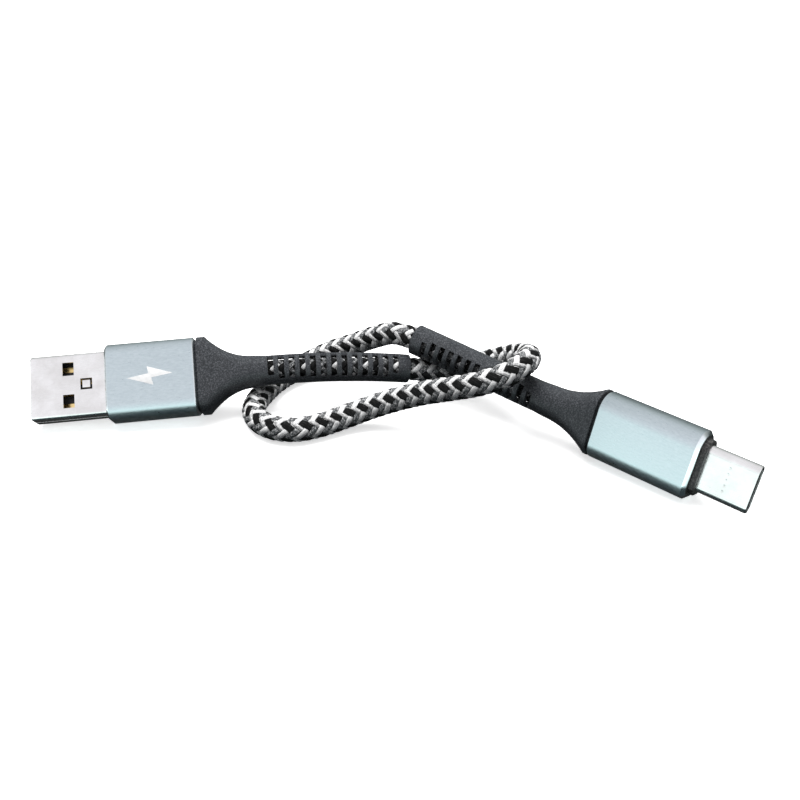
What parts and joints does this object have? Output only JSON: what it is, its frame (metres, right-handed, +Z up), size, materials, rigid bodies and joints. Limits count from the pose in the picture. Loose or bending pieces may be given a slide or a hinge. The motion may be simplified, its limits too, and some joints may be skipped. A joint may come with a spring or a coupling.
{
  "type": "charging cable",
  "caption": "Short braided charging cable with a USB-A plug and a USB-C plug, metal sleeves and slotted strain reliefs, lying in one loop on a table.",
  "frame": {"origin": "on the table, under the middle of the box round the two plugs with their strain reliefs", "axes": "+Z up, +X from the USB-A plug's tip towards the USB-C plug's tip, +Y away from the side the cable is seen from"},
  "size_m": [0.125, 0.052, 0.0163],
  "materials": {
    "nickel_plating": "bright nickel-plated drawn steel",
    "gold_plating": "gold-plated contact",
    "spring_steel": "bright spring steel",
    "anodised_aluminium": "satin grey-teal anodising with polished chamfers",
    "boot_rubber": "matt moulded elastomer with a fine spark grain",
    "nylon_braid": "round nylon braid in white, grey and black yarns",
    "black_plastic": "moulded, fine grain",
    "board_laminate": "solder mask",
    "resistor_body": "ceramic chip with glaze",
    "lead_red": "insulated wire",
    "lead_white": "insulated wire",
    "lead_green": "insulated wire",
    "lead_black": "insulated wire"
  },
  "bodies": {
    "cable": {"usb_a_shell": "nickel_plating", "usb_a_tongue": "black_plastic", "usb_a_contact_vbus": "gold_plating", "usb_a_contact_d_minus": "gold_plating", "usb_a_contact_d_plus": "gold_plating", "usb_a_contact_gnd": "gold_plating", "usb_a_inner_mould": "black_plastic", "usb_a_sleeve": "anodised_aluminium", "usb_a_strain_relief": "boot_rubber", "usb_a_gripped_cord": "nylon_braid", "usb_a_lead_red": "lead_red", "usb_a_lead_white": "lead_white", "usb_a_lead_green": "lead_green", "usb_a_lead_black": "lead_black", "usb_c_shell": "nickel_plating", "usb_c_housing": "black_plastic", "usb_c_contact_a1_gnd": "gold_plating", "usb_c_contact_a4_vbus": "gold_plating", "usb_c_contact_a5_cc": "gold_plating", "usb_c_contact_a6_d_plus": "gold_plating", "usb_c_contact_a7_d_minus": "gold_plating", "usb_c_contact_a9_vbus": "gold_plating", "usb_c_contact_a12_gnd": "gold_plating", "usb_c_contact_b1_gnd": "gold_plating", "usb_c_contact_b4_vbus": "gold_plating", "usb_c_contact_b9_vbus": "gold_plating", "usb_c_contact_b12_gnd": "gold_plating", "usb_c_board": "board_laminate", "usb_c_pull_up_resistor": "resistor_body", "usb_c_inner_mould": "black_plastic", "usb_c_sleeve": "anodised_aluminium", "usb_c_strain_relief": "boot_rubber", "usb_c_gripped_cord": "nylon_braid", "usb_c_lead_red": "lead_red", "usb_c_lead_white": "lead_white", "usb_c_lead_green": "lead_green", "usb_c_lead_black": "lead_black", "braided_cord": "nylon_braid"},
    "latch_left": {"usb_c_latch_left": "spring_steel"},
    "latch_right": {"usb_c_latch_right": "spring_steel"}
  },
  "joints": [
    {"name": "latch_left_spring", "type": "hinge", "parent": "cable", "child": "latch_left", "pos_m": [0.05619, -0.01577, 0.00899], "axis": [-0.6323, -0.7175, 0.2922], "range_deg": [0, 2.3], "stiffness_Nm_per_rad": 0.2},
    {"name": "latch_right_spring", "type": "hinge", "parent": "cable", "child": "latch_right", "pos_m": [0.0548, -0.017, 0.00296], "axis": [0.6323, 0.7175, -0.2922], "range_deg": [0, 2.3], "stiffness_Nm_per_rad": 0.2}
  ]
}
